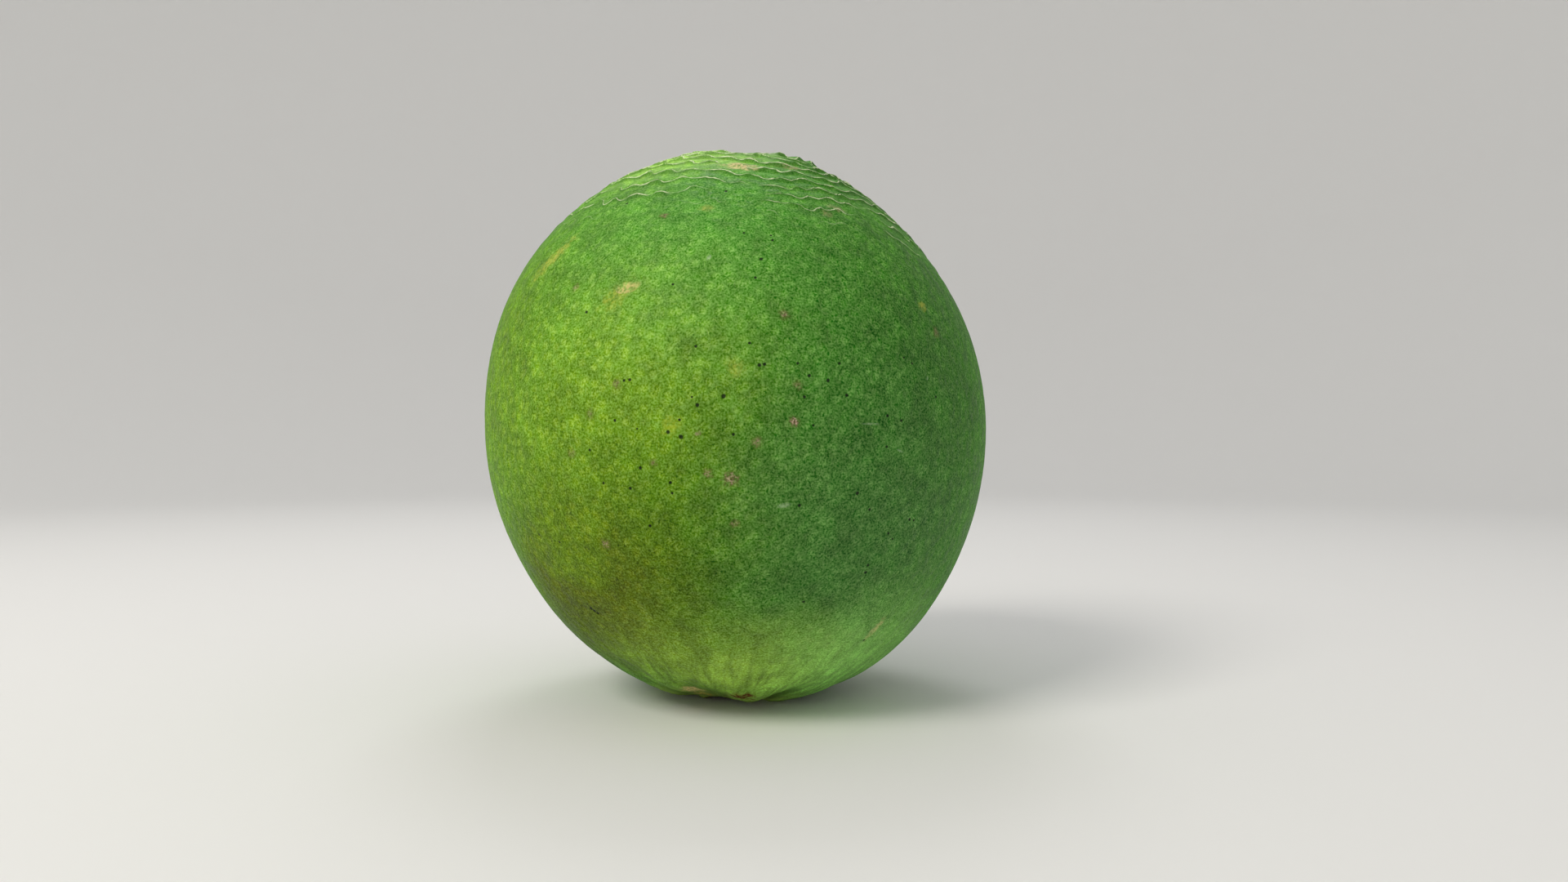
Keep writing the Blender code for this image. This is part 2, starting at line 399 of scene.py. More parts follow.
# Lays out the glands and presses their pits into the skin. Neighbours go into different sets, and
# each vertex holds where it lies from the gland of each set that is near, so that the shader can
# draw them finer than the mesh is. The fourth value is a tone from 0 to 1, the gland's own.
def layGlands(skin):
    mesh = skin.data
    places, tree = skinPoints(mesh)
    radius = body["halfWidth"]
    count = int(4 * math.pi * radius**2 / (glands["rowGap"] * glands["spacing"] ** 2))
    draw = random.Random(glands["seed"])
    stray = glands["stray"] * glands["spacing"] / radius
    centres = []
    for i in range(count):  # turning by the golden angle spreads them evenly
        polar = math.degrees(math.acos(1.0 - 2.0 * (i + 0.5) / count))
        way = directionOf(math.degrees(i * math.pi * (3.0 - math.sqrt(5.0))), polar)
        way += Vector([draw.uniform(-stray, stray) for _ in range(3)])
        centres.append(skinAlong(tree, way.normalized())[0] / mm)
    near = KDTree(count)
    for i, centre in enumerate(centres):
        near.insert(centre, i)
    near.balance()
    setOf = [None] * count
    for i, centre in enumerate(centres):
        taken = {}
        for _, other, distance in near.find_range(centre, glands["neighbours"] * glands["spacing"]):
            if setOf[other] is not None:
                taken[setOf[other]] = min(distance, taken.get(setOf[other], farAway))
        free = [k for k in range(glands["sets"]) if k not in taken]
        setOf[i] = free[0] if free else max(taken, key=taken.get)
    vertices = KDTree(len(places))
    for i, place in enumerate(places):
        vertices.insert(place, i)
    vertices.balance()
    held = np.full((glands["sets"], len(places), 4), farAway)
    pits = np.zeros(len(places))
    for i, centre in enumerate(centres):
        tone = draw.random()
        mine = held[setOf[i]]
        for place, vertex, distance in vertices.find_range(centre, glands["reach"]):
            pits[vertex] = max(pits[vertex], bell(distance, glands["pitWidth"]))
            if distance < math.hypot(*mine[vertex][:3]):
                mine[vertex] = (*(place - centre), tone)
    for k in range(glands["sets"]):
        keepValues(mesh, "glands%d" % k, held[k])
    normals = np.zeros(len(places) * 3)
    mesh.vertices.foreach_get("normal", normals)
    pressed = places - normals.reshape(-1, 3) * (pits * glands["pitDepth"])[:, None]
    mesh.vertices.foreach_set("co", (pressed * mm).ravel())
    mesh.update()
    print("glands: %d" % count)


# Marks on the rind. The seen ones are at a pixel of the photograph, then half their length and
# half their width, the angle of their length in the picture, a tone and how strong they show.
marks = {
    # Corky spots: tone 0 olive to 1 pinkish
    "spots": [
        (895, 587, 0.68, 0.62, 0, 0.8, 0.8),
        (867, 580, 0.45, 0.4, 0, 0.5, 0.6),
        (973, 516, 0.42, 0.5, 60, 1.0, 0.9),
        (960, 385, 0.5, 0.45, 0, 0.7, 0.65),
        (927, 541, 0.48, 0.42, 20, 0.5, 0.6),
        (722, 507, 0.5, 0.38, 90, 0.6, 0.4),
        (755, 470, 0.45, 0.4, 0, 0.4, 0.6),
        (900, 641, 0.45, 0.35, 0, 0.3, 0.6),
        (977, 472, 0.42, 0.4, 0, 0.4, 0.5),
        (1146, 407, 0.55, 0.5, 90, 0.3, 0.6),
        (705, 352, 0.45, 0.35, 60, 0.6, 0.6),
        (700, 555, 0.45, 0.4, 0, 0.4, 0.4),
        (741, 666, 0.55, 0.5, 0, 0.9, 0.5),
        (813, 264, 0.45, 0.35, 0, 0.3, 0.7),
        (800, 567, 0.4, 0.35, 0, 0.2, 0.4),
        (854, 530, 0.4, 0.35, 0, 0.9, 0.35),
    ],
    # Scars: tone 0 yellow, through tan and pinkish beige, to 1 red-brown
    "scars": [
        (764, 354, 1.9, 0.8, 28, 0.42, 0.55),
        (752, 365, 1.8, 1.3, 30, 0.05, 0.5),
        (677, 316, 3.4, 1.0, 48, 0.1, 0.6),
        # This mark is a painted highlight, drawn as a pale scar where light catches the crown's
        # ridges
        (907, 203, 2.4, 1.1, 5, 0.55, 0.75),
        (968, 203, 1.3, 0.9, 0, 0.8, 0.45),
        (1024, 254, 1.2, 0.6, -20, 0.82, 0.35),
        (1013, 262, 0.7, 0.6, 0, 0.88, 0.4),
        (865, 255, 0.8, 0.6, 0, 0.2, 0.4),
        (821, 521, 1.2, 0.9, 60, 0.0, 0.5),
        (899, 449, 1.0, 0.9, 0, 0.1, 0.35),
        (850, 843, 1.3, 1.6, -10, 0.45, 1.0),
        (862, 849, 1.3, 0.9, -15, 0.2, 1.0),
        (910, 853, 1.5, 1.7, 0, 1.0, 1.4),
        (932, 857, 1.6, 1.1, 0, 0.12, 1.0),
        (1130, 375, 0.8, 0.6, 0, 0.1, 0.6),
        (1072, 770, 1.7, 0.5, 75, 0.5, 0.5),
    ],
    # Pale dry scratches
    "scratches": [
        (1066, 519, 1.2, 0.13, 0, 0.5, 0.4),
        (960, 619, 0.8, 0.28, 10, 0.5, 0.4),
        (1102, 552, 0.5, 0.14, -20, 0.5, 0.35),
        (868, 315, 0.4, 0.25, 60, 0.5, 0.5),
        (1136, 463, 0.25, 0.16, 60, 0.5, 0.6),
    ],
    # Black specks, by their half width
    "specks": [
        (718, 382, 0.17), (768, 249, 0.16), (930, 447, 0.19), (936, 446, 0.17),
        (886, 485, 0.22), (854, 496, 0.2), (818, 529, 0.2), (834, 535, 0.23), (753, 515, 0.15),
        (764, 466, 0.14), (771, 465, 0.17), (832, 514, 0.13), (847, 486, 0.11),
        (784, 573, 0.17), (772, 598, 0.15), (821, 591, 0.15), (823, 604, 0.13),
        (796, 644, 0.17), (685, 664, 0.15), (739, 592, 0.12), (722, 551, 0.13),
        (1014, 466, 0.18), (991, 460, 0.17), (985, 486, 0.16), (1037, 484, 0.18),
        (1028, 445, 0.13), (977, 445, 0.13), (1087, 509, 0.16), (1104, 515, 0.15),
        (1117, 445, 0.13), (1107, 438, 0.12), (1146, 486, 0.14), (1086, 547, 0.14),
        (1050, 604, 0.18), (979, 619, 0.17), (1065, 624, 0.14), (1114, 636, 0.17),
        (1119, 637, 0.13), (1088, 653, 0.14), (1093, 660, 0.12), (1063, 692, 0.16),
        (1060, 701, 0.16), (984, 737, 0.15), (1058, 784, 0.14), (932, 317, 0.18),
        (944, 288, 0.13), (946, 294, 0.13), (911, 285, 0.12), (889, 234, 0.18),
        (918, 420, 0.15), (925, 340, 0.14), (852, 424, 0.14), (824, 348, 0.12),
        (898, 532, 0.14), (996, 521, 0.12), (660, 655, 0.12), (724, 745, 0.22), (728, 748, 0.2),
        (732, 751, 0.18), (780, 525, 0.1), (739, 591, 0.1),
    ],
    "speckStrength": 0.92,
    # How many of each the sides that the photograph doesn't show have and how strong they show at
    # most; then how high they lie (the cosine of the angle down from the top), how far round from
    # +X, and their size next to the seen mark's that each is like
    "hidden": {"spots": (16, 0.8), "scars": (7, 0.5), "scratches": (4, 0.5), "specks": (66, 0.92)},
    "hiddenHeights": (-0.9, 0.85),
    "hiddenTurns": (-8, 188),
    "hiddenSizes": (0.7, 1.2),
    # How many sets each kind takes, to keep the marks of one set this far apart
    "sets": {"spots": 2, "scars": 2, "scratches": 1, "specks": 3},
    "apart": 0.6,
    # A mark's own frame reaches this many half lengths out, and so much past that
    "reach": 1.3,
    "past": 0.6,
    "seed": 11,
}


# Stores, for each vertex near a mark, where it lies in that mark's own frame, in half sizes,
# then the mark's tone, and its strength
def layMarks(skin, camera):
    mesh = skin.data
    places, tree = skinPoints(mesh)
    draw = random.Random(marks["seed"])
    for kind, (hiddenCount, strongest) in marks["hidden"].items():
        laid = []
        for x, y, *size in marks[kind]:
            if kind == "specks":
                size = (size[0], size[0], 0, 0.5, marks["speckStrength"])
            laid.append((*skinAtPixel(tree, camera, (x, y)), *size))
        for _ in range(hiddenCount):
            polar = math.degrees(math.acos(draw.uniform(*marks["hiddenHeights"])))
            azimuth = draw.uniform(*marks["hiddenTurns"])
            place, normal = skinAlong(tree, directionOf(azimuth, polar))
            like = laid[draw.randrange(len(marks[kind]))]
            grown = draw.uniform(*marks["hiddenSizes"])
            sizes = (like[2] * grown, like[3] * grown, draw.uniform(0, 180))
            laid.append((place, normal, *sizes, like[5], min(like[6], strongest)))
        sets = range(marks["sets"][kind])
        held = np.full((len(sets), len(places), 4), farAway)
        strengths = np.zeros((len(sets), len(places)))
        nearest = np.full((len(sets), len(places)), farAway)
        taken = []
        for place, normal, halfLength, halfWidth, angle, tone, strength in laid:
            side = Vector((0.0, 0.0, 1.0)).cross(normal).normalized()  # the picture's right
            up = normal.cross(side)
            turn = math.radians(angle)
            along = (side * math.cos(turn) + up * math.sin(turn)) / halfLength
            across = (up * math.cos(turn) - side * math.sin(turn)) / halfWidth
            away = places - np.array(place) / mm
            inMark = away @ np.array([along, across, normal / halfWidth]).T
            halves = np.linalg.norm(inMark, axis=1)
            reach = marks["reach"] * halfLength + marks["past"]
            crowded = set()
            for other, otherReach, otherSet in taken:
                if (other - place).length / mm - otherReach - reach < marks["apart"]:
                    crowded.add(otherSet)
            k = min((k for k in sets if k not in crowded), default=0)
            taken.append((place, reach, k))
            mine = (np.linalg.norm(away, axis=1) < reach) & (halves < nearest[k])
            held[k, mine, :3] = inMark[mine]
            held[k, mine, 3] = tone
            strengths[k, mine] = strength
            nearest[k, mine] = halves[mine]
        for k in sets:
            keepValues(mesh, "%s%d" % (kind, k), held[k])
            keepValues(mesh, "%s%dStrength" % (kind, k), strengths[k])
        print("%s: %d" % (kind, len(laid)))


# Adds a node, sets it, sets or links its inputs, and gives back the output that is wanted
def addNode(tree, kind, inputs=(), wanted=0, **settings):
    node = tree.nodes.new("ShaderNode" + kind)
    for name, value in settings.items():
        setattr(node, name, value)
    for socket, value in inputs.items() if isinstance(inputs, dict) else enumerate(inputs):
        if isinstance(value, bpy.types.NodeSocket):
            tree.links.new(value, node.inputs[socket])
        else:
            node.inputs[socket].default_value = value
    return node.outputs[wanted]


# An sRGB hex value as the linear colour that a shader takes
def linear(hexValue):
    parts = [int(hexValue[i : i + 2], 16) / 255 for i in (1, 3, 5)]
    return [p / 12.92 if p <= 0.04045 else ((p + 0.055) / 1.055) ** 2.4 for p in parts] + [1.0]


# Colours of the rind, as sRGB, and where each zone of it lies: by a pixel of the photograph, or
# round from +X and down from the top on the sides that it doesn't show; then a colour, a
# radius, a soft edge and a share.
rind = {
    "ground": "#4D8B2A",
    "zones": {
        "left flank": ((640, 470), "#668D19", 18.0, 13.0, 0.85),
        # The upper left shoulder: partly its own lighter green, partly painted light where the key
        # and top lights fall
        "shoulder with painted light": ((840, 320), "#59983A", 13.0, 12.0, 0.8),
        "yellow cheek": ((790, 490), "#81AB2A", 10.0, 10.0, 0.7),
        "low middle": ((815, 665), "#527701", 11.0, 11.0, 0.8),
        # The right side: partly its own deeper green, partly painted shade on the side turned away
        # from the key light
        "deep right with painted shade": ((1130, 490), "#40722A", 17.0, 16.0, 0.9),
        "cool right": ((1060, 690), "#497738", 13.0, 12.0, 0.75),
        # Lower right: a pale green that is painted light, as of light bounced up on to the lower
        # right
        "low right painted light": ((1020, 828), "#94D068", 9.2, 7.6, 0.82),
        "olive base": ((724, 745), "#566101", 10.5, 7.5, 0.85),
        "lime band": ((692, 655), "#628407", 5.2, 2.2, 0.75),
        # Near the base: partly its own paler green, partly painted light that lifts the underside out
        # of the floor's shadow
        "base": ((888, 828), "#96BA47", 8.1, 7.3, 0.8),
        # The crown: partly its own paler green, partly painted light from above
        "crown": ((840, 190), "#BAF464", 7.5, 6.0, 0.65),
        "right side": ((10.0, 80.0), "#4C892B", 14.0, 12.0, 0.7),
        "back yellow": ((70.0, 95.0), "#81A122", 11.0, 11.0, 0.7),
        "back green": ((120.0, 60.0), "#53952D", 15.0, 12.0, 0.7),
        "back deep": ((105.0, 125.0), "#488124", 14.0, 10.0, 0.7),
        "left back": ((165.0, 100.0), "#779922", 12.0, 10.0, 0.6),
    },
    # How far the zones' edges stray and over what length
    "zoneStrays": ((7.0, 9.0), (2.2, 2.4)),
    # Light and dark patches: length, octaves, roughness, darkest and lightest
    "clouds": (2.4, 3.0, 0.62, 0.7, 1.3),
    # Grain: length, octaves, roughness. Real grain is finer; it is drawn this coarse so that it shows
    "grain": (0.19, 1.0, 0.6),
    # Where the skin is darkest and lightest, and how strong the grain is there
    "grainShares": (0.1, 0.3, 0.09, 0.17),
    "grainTint": "#D0FF9E",
    # A gland's dot is the rind's own colour, times this; then its faintest and strongest share, the
    # share of all dots, and how far out it is whole and gone
    "glandLight": (1.66, 1.38, 1.7),
    "glandTones": (0.6, 1.0),
    "glandShare": 0.95,
    "glandDot": (0.16, 0.58),
    "glandEdge": (0.35, 0.35),  # its raggedness: length, and amount
    "glandPatches": (5.0, 0.65),  # where they show less: length, and how much they show there
    # Where they fade towards the stem and the crown, and to what
    "glandFades": (("fromStem", 14.0, 40.0, 0.12), ("fromCrown", 7.0, 17.0, 0.5)),
    # Ridges round the crown. Their kinks: length, and amount as a share of the spacing. Then from
    # where to where in a ridge's strength its colours come up.
    "ridgeKinks": (0.9, 0.12),
    "ridgeShows": (0.05, 0.45),
    # The crests' pale colour is a painted highlight, where light catches each crest
    "ridgeCrestHighlight": "#E4F4C0",
    "ridgeCrestHighlightShare": 0.88,
    # From where to where, front to back, the painted highlight on the crests grows fainter, and to
    # what share
    "ridgeCrestHighlightFade": (-3.0, 9.0, 0.45),
    "ridgeCrestWidth": (0.01, 0.055),  # as a share of the spacing
    "ridgeCrestSwells": (0.8, 0.5, 1.4),  # length, and the width's least and most, as shares
    "ridgeCrestBreaks": (1.7, 0.28, 0.54),  # length, and the noise where it is broken and whole
    # The feet's darker green is painted shade, below each crest
    "ridgeFootShade": "#356A1E",
    "ridgeFootShadeShare": 0.6,
    "ridgeFootShadeWidth": (0.08, 0.3),  # as a share of the spacing
    # Streaks round the stem end: noise cells round it, and in a millimetre along them, where they
    # fade, darkest and lightest
    "streakCells": 130.0,
    "streakStretch": 0.25,
    "streakFade": (12.0, 26.0),
    "streakRange": (0.7, 1.32),
    # The two ends: what each layer follows, from where to where, the share at both, and its colour
    "ends": (
        # The ring round the stem end is partly painted light
        ("stem", 5.0, 13.0, 0.72, 0.0, "stemRingWithPaintedLight"),
        ("furrow", 0.1, 0.5, 0.0, 0.6, "furrowShade"),
        ("stem", 3.9, 4.5, 0.95, 0.0, "stemScar"),
        ("tip", 1.2, 2.0, 0.9, 0.0, "stylarScar"),
    ),
    "endsLength": 0.9,  # their ragged edges: length, and how far each strays
    "endsStray": {"stem": 1.6, "tip": 1.0},
    # The ring round the stem end: partly its own paler yellow green, partly painted light that lifts
    # the underside out of the floor's shadow
    "stemRingWithPaintedLight": "#CCE472",
    "stemScar": "#7B5A39",
    "stylarScar": "#6E5A33",
    "furrowShade": "#39601A",
    # Marks: each kind's rough edge, by its length and its amount in half sizes, then how each
    # layer is drawn: from how many half sizes out to how many, its share inside, and its colour
    "markEdges": {
        "scars": (0.8, 1.6),
        "spots": (0.35, 1.3),
        "scratches": (0.3, 0.8),
        "specks": (0.2, 0.5),
    },
    "markLayers": (
        ("scars", 0.2, 1.2, 1.0, "scarTones"),
        ("spots", 0.6, 1.6, 0.9, "spotRing"),
        ("spots", 0.2, 1.0, 0.85, "spotTones"),
        ("spots", 0.0, 0.35, 0.8, "spotHeart"),
        ("scratches", 0.4, 1.1, 1.0, "scratch"),
        ("specks", 0.58, 1.2, 1.0, "speck"),
    ),
    # Where marks are thinner: length, the noise where they are and where not, and least share
    "markBreaks": (0.3, 0.35, 0.6, 0.25),
    "spotFlecks": (0.16, 0.4, 0.6, 0.0),
    "speck": "#0E1608",
    "spotRing": "#5E5230",
    "spotTones": ("#94865C", "#D6B8A2"),
    "spotHeart": "#4A2A1C",
    "scratch": "#B4C9A2",
    "scarTones": ("#A8B634", "#EFD080", "#F0DCB4", "#6A3018"),
    # Relief too fine for the mesh
    "reliefs": {
        "crest": 0.07,
        "clouds": 0.07,
        "grain": 0.02,
        "streaks": 0.12,
        "specks": -0.05,
        "spots": 0.04,
        "scratches": -0.02,
    },
    # The wax: how rough from closed to open skin, how much rougher on cork, and how it shines
    "roughness": (0.5, 0.66),
    "scarRoughness": 0.25,
    "refraction": 1.45,
    "shine": 0.14,
}


# Citrus rind: a thin natural wax over the green peel. Up close the eye sees paler glands in a
# finely grained skin with a soft satin sheen, and from afar zones of yellow and green. A Mix node
# for colours takes its share at input 0 and its colours at 6 and 7, and gives output 2.
def waxedCitrusRind(skin, camera):
    material = bpy.data.materials.new("waxedCitrusRind")
    material.use_nodes = True
    tree = material.node_tree
    shader = tree.nodes["Principled BSDF"]
    smooth = {"interpolation_type": "SMOOTHSTEP"}
    mixing = {"wanted": 2, "data_type": "RGBA"}
    rest = addNode(tree, "Attribute", attribute_name="restMm", wanted="Vector")
    facts = {}
    for name in ("ridgeCount", "ridgeStrength", "fromCrown", "fromStem", "furrow"):
        facts[name] = addNode(tree, "Attribute", attribute_name=name, wanted="Fac")

    # Zones, with edges that stray from their circles
    strayed = rest
    for stray, length in rind["zoneStrays"]:
        field = addNode(tree, "TexNoise", {"Vector": rest, "Scale": 1 / length}, "Color")
        field = addNode(tree, "VectorMath", (field, (0.5, 0.5, 0.5)), operation="SUBTRACT")
        strays = (field, (stray, stray, stray), strayed)
        strayed = addNode(tree, "VectorMath", strays, operation="MULTIPLY_ADD")
    surface = skinPoints(skin.data)[1]
    colour = linear(rind["ground"])
    for where, hexValue, radius, soft, share in rind["zones"].values():
        if where[0] > 360:  # a pixel, as no angle is that large
            place = skinAtPixel(surface, camera, where)[0]
        else:
            place = skinAlong(surface, directionOf(*where))[0]
        away = addNode(
            tree, "VectorMath", (strayed, tuple(place / mm)), "Value", operation="DISTANCE"
        )
        within = addNode(tree, "MapRange", (away, radius - soft, radius + soft, share, 0.0), **smooth)
        colour = addNode(tree, "Mix", {0: within, 6: colour, 7: linear(hexValue)}, **mixing)

    # Light and dark patches, then grain, whose tint keeps the hue near the same
    length, octaves, roughness, darkest, lightest = rind["clouds"]
    kind = {"Vector": rest, "Scale": 1 / length, "Detail": octaves, "Roughness": roughness}
    clouds = addNode(tree, "TexNoise", kind)
    value = addNode(tree, "MapRange", (clouds, *noiseEnds, darkest, lightest))
    colour = addNode(tree, "Mix", {0: 1.0, 6: colour, 7: value}, blend_type="MULTIPLY", **mixing)
    tint = linear(rind["grainTint"])
    darker = [0.5 - part / 2 for part in tint[:3]] + [1.0]
    lighter = [0.5 + part / 2 for part in tint[:3]] + [1.0]
    length, octaves, roughness = rind["grain"]
    kind = {"Vector": rest, "Scale": 1 / length, "Detail": octaves, "Roughness": roughness}
    grain = addNode(tree, "TexNoise", kind)
    value = addNode(tree, "MapRange", (grain, *noiseEnds, 0.0, 1.0))
    tinted = addNode(tree, "Mix", {0: value, 6: darker, 7: lighter}, **mixing)
    share = addNode(tree, "MapRange", (colour, *rind["grainShares"]))
    layers = {0: share, 6: colour, 7: tinted}
    colour = addNode(tree, "Mix", layers, blend_type="LINEAR_LIGHT", clamp_result=True, **mixing)

    # Glands: a soft dot each, stronger or fainter by its own tone, and in some places
    length, least = rind["glandPatches"]
    field = addNode(tree, "TexNoise", {"Vector": rest, "Scale": 1 / length, "Detail": 1.0})
    some = addNode(tree, "MapRange", (field, *noiseMiddle, least, 1.0), **smooth)
    for name, near, far, least in rind["glandFades"]:
        fade = addNode(tree, "MapRange", (facts[name], near, far, least, 1.0), **smooth)
        some = addNode(tree, "Math", (some, fade), operation="MULTIPLY")
    length, amount = rind["glandEdge"]
    edge = addNode(tree, "TexNoise", {"Vector": rest, "Scale": 1 / length, "Detail": 1.0})
    edge = addNode(tree, "Math", (edge, 0.5), operation="SUBTRACT")
    dots, shares = None, None
    for k in range(glands["sets"]):
        held = {"attribute_name": "glands%d" % k}
        offset = addNode(tree, "Attribute", wanted="Vector", **held)
        tone = addNode(tree, "Attribute", wanted="Alpha", **held)
        away = addNode(tree, "VectorMath", (offset,), "Value", operation="LENGTH")
        away = addNode(tree, "Math", (edge, amount, away), operation="MULTIPLY_ADD")
        dot = addNode(tree, "MapRange", (away, *rind["glandDot"], 1.0, 0.0), **smooth)
        own = addNode(tree, "MapRange", (tone, 0.0, 1.0, *rind["glandTones"]))
        share = addNode(tree, "Math", (dot, own), operation="MULTIPLY")
        if dots is None:
            dots, shares = dot, share
            continue
        dots = addNode(tree, "Math", (dots, dot), operation="MAXIMUM")
        shares = addNode(tree, "Math", (shares, share), operation="MAXIMUM")
    shares = addNode(tree, "Math", (shares, some), operation="MULTIPLY")
    shares = addNode(tree, "Math", (shares, rind["glandShare"]), operation="MULTIPLY")
    light = {0: shares, 6: colour, 7: (*rind["glandLight"], 1.0)}
    colour = addNode(tree, "Mix", light, blend_type="MULTIPLY", **mixing)

    # Ridges round the crown: a painted highlight along the crests, and painted shade on the darker
    # feet below them
    length, amount = rind["ridgeKinks"]
    kinks = addNode(tree, "TexNoise", {"Vector": rest, "Scale": 1 / length})
    turns = addNode(tree, "Math", (kinks, amount, facts["ridgeCount"]), operation="MULTIPLY_ADD")
    turns = addNode(tree, "Math", (turns, amount / 2), operation="SUBTRACT")
    turns = addNode(tree, "Math", (turns, 1.0), operation="FLOORED_MODULO")
    length, gone, whole = rind["ridgeCrestBreaks"]
    field = addNode(tree, "TexNoise", {"Vector": rest, "Scale": 1 / length})
    breaks = addNode(tree, "MapRange", (field, gone, whole, 0.0, 1.0), **smooth)
    shows = (facts["ridgeStrength"], *rind["ridgeShows"], 0.0, 1.0)
    strong = addNode(tree, "MapRange", shows, **smooth)
    fromCrest = addNode(tree, "Math", (turns, 0.5), operation="PINGPONG")
    length, least, most = rind["ridgeCrestSwells"]
    field = addNode(tree, "TexNoise", {"Vector": rest, "Scale": 1 / length})
    wide = addNode(tree, "MapRange", (field, *noiseMiddle, least, most))
    fromCrest = addNode(tree, "Math", (fromCrest, wide), operation="DIVIDE")
    crest = addNode(tree, "MapRange", (fromCrest, *rind["ridgeCrestWidth"], 1.0, 0.0), **smooth)
    crest = addNode(tree, "Math", (crest, strong), operation="MULTIPLY")
    crest = addNode(tree, "Math", (crest, breaks), operation="MULTIPLY")
    # Painted shade at the foot of each ridge
    foot = addNode(tree, "MapRange", (turns, *rind["ridgeFootShadeWidth"], 1.0, 0.0), **smooth)
    foot = addNode(tree, "Math", (foot, strong), operation="MULTIPLY")
    footShadeShare = addNode(tree, "Math", (foot, rind["ridgeFootShadeShare"]), operation="MULTIPLY")
    # The painted highlight along the crests, fainter towards the back, away from the key light
    crestHighlightShare = addNode(tree, "Math", (crest, rind["ridgeCrestHighlightShare"]), operation="MULTIPLY")
    back = addNode(tree, "SeparateXYZ", (rest,), "Y")
    near, far, least = rind["ridgeCrestHighlightFade"]
    fade = addNode(tree, "MapRange", (back, near, far, 1.0, least), **smooth)
    crestHighlightShare = addNode(tree, "Math", (crestHighlightShare, fade), operation="MULTIPLY")
    # Painted shade on the ridges' feet, then the painted highlight on their crests
    for share, name in ((footShadeShare, "ridgeFootShade"), (crestHighlightShare, "ridgeCrestHighlight")):
        colour = addNode(tree, "Mix", {0: share, 6: colour, 7: linear(rind[name])}, **mixing)

    # Fine streaks that run into the stem end
    turned = addNode(tree, "Attribute", attribute_name="ownTurn", wanted="Vector")
    cells = (rind["streakCells"] / (2 * math.pi),) * 3
    turned = addNode(tree, "VectorMath", (turned, cells), operation="MULTIPLY")
    along = addNode(tree, "CombineXYZ", {"Z": facts["fromStem"]})
    stretch = (0.0, 0.0, rind["streakStretch"])
    turned = addNode(tree, "VectorMath", (along, stretch, turned), operation="MULTIPLY_ADD")
    streaks = addNode(tree, "TexNoise", {"Vector": turned, "Scale": 1.0, "Detail": 2.0})
    fade = addNode(tree, "MapRange", (facts["fromStem"], *rind["streakFade"], 1.0, 0.0), **smooth)
    value = addNode(tree, "MapRange", (streaks, *noiseMiddle, *rind["streakRange"]))
    layers = {0: fade, 6: colour, 7: value}
    colour = addNode(tree, "Mix", layers, blend_type="MULTIPLY", **mixing)
    streakHeight = addNode(tree, "Math", (streaks, fade), operation="MULTIPLY")

    # The two ends, with ragged edges
    kind = {"Vector": rest, "Scale": 1 / rind["endsLength"], "Detail": 3.0}
    ragged = addNode(tree, "TexNoise", kind)
    followed = {"furrow": facts["furrow"]}
    for end, plain in (("stem", facts["fromStem"]), ("tip", facts["fromCrown"])):
        strays = (ragged, rind["endsStray"][end], plain)
        followed[end] = addNode(tree, "Math", strays, operation="MULTIPLY_ADD")
    for end, *inputs, name in rind["ends"]:
        share = addNode(tree, "MapRange", (followed[end], *inputs), **smooth)
        colour = addNode(tree, "Mix", {0: share, 6: colour, 7: linear(rind[name])}, **mixing)

    # Marks: how many half sizes out of its middle a point lies, with a rough edge; the nearest of
    # the kind's sets counts
    out, tone, strength = {}, {}, {}
    for kind, (length, amount) in rind["markEdges"].items():
        field = addNode(tree, "TexNoise", {"Vector": rest, "Scale": 1 / length, "Detail": 1.0})
        for k in range(marks["sets"][kind]):
            held = {"attribute_name": "%s%d" % (kind, k)}
            offset = addNode(tree, "Attribute", wanted="Vector", **held)
            toneHere = addNode(tree, "Attribute", wanted="Alpha", **held)
            held["attribute_name"] += "Strength"
            strengthHere = addNode(tree, "Attribute", wanted="Fac", **held)
            halves = addNode(tree, "VectorMath", (offset,), "Value", operation="LENGTH")
            if k == 0:
                out[kind], tone[kind], strength[kind] = halves, toneHere, strengthHere
                continue
            nearer = addNode(tree, "Math", (halves, out[kind]), operation="LESS_THAN")
            out[kind] = addNode(tree, "Math", (halves, out[kind]), operation="MINIMUM")
            tone[kind] = addNode(tree, "Mix", {0: nearer, 2: tone[kind], 3: toneHere})
            strength[kind] = addNode(tree, "Mix", {0: nearer, 2: strength[kind], 3: strengthHere})
        field = addNode(tree, "Math", (field, 0.5), operation="SUBTRACT")
        out[kind] = addNode(tree, "Math", (field, amount, out[kind]), operation="MULTIPLY_ADD")
    ramps = {}
    for kind, name in (("scars", "scarTones"), ("spots", "spotTones")):
        ramps[name] = addNode(tree, "ValToRGB", (tone[kind],))
        elements = ramps[name].node.color_ramp.elements
        hexValues = rind[name]
        for i in range(1, len(hexValues) - 1):
            elements.new(i / (len(hexValues) - 1))
        for element, hexValue in zip(elements, hexValues):
            element.color = linear(hexValue)
    length, thin, whole, least = rind["markBreaks"]
    field = addNode(tree, "TexNoise", {"Vector": rest, "Scale": 1 / length, "Detail": 1.0})
    broken = addNode(tree, "MapRange", (field, thin, whole, least, 1.0), **smooth)
    length, thin, whole, least = rind["spotFlecks"]
    field = addNode(tree, "TexNoise", {"Vector": rest, "Scale": 1 / length})
    flecks = addNode(tree, "MapRange", (field, thin, whole, least, 1.0), **smooth)
    shown = {}  # each kind's widest layer, for its relief
    for kind, near, far, most, name in rind["markLayers"]:
        share = addNode(tree, "MapRange", (out[kind], near, far, most, 0.0), **smooth)
        share = addNode(tree, "Math", (share, strength[kind]), operation="MULTIPLY")
        if kind != "specks":
            patchy = flecks if name == "spotTones" else broken
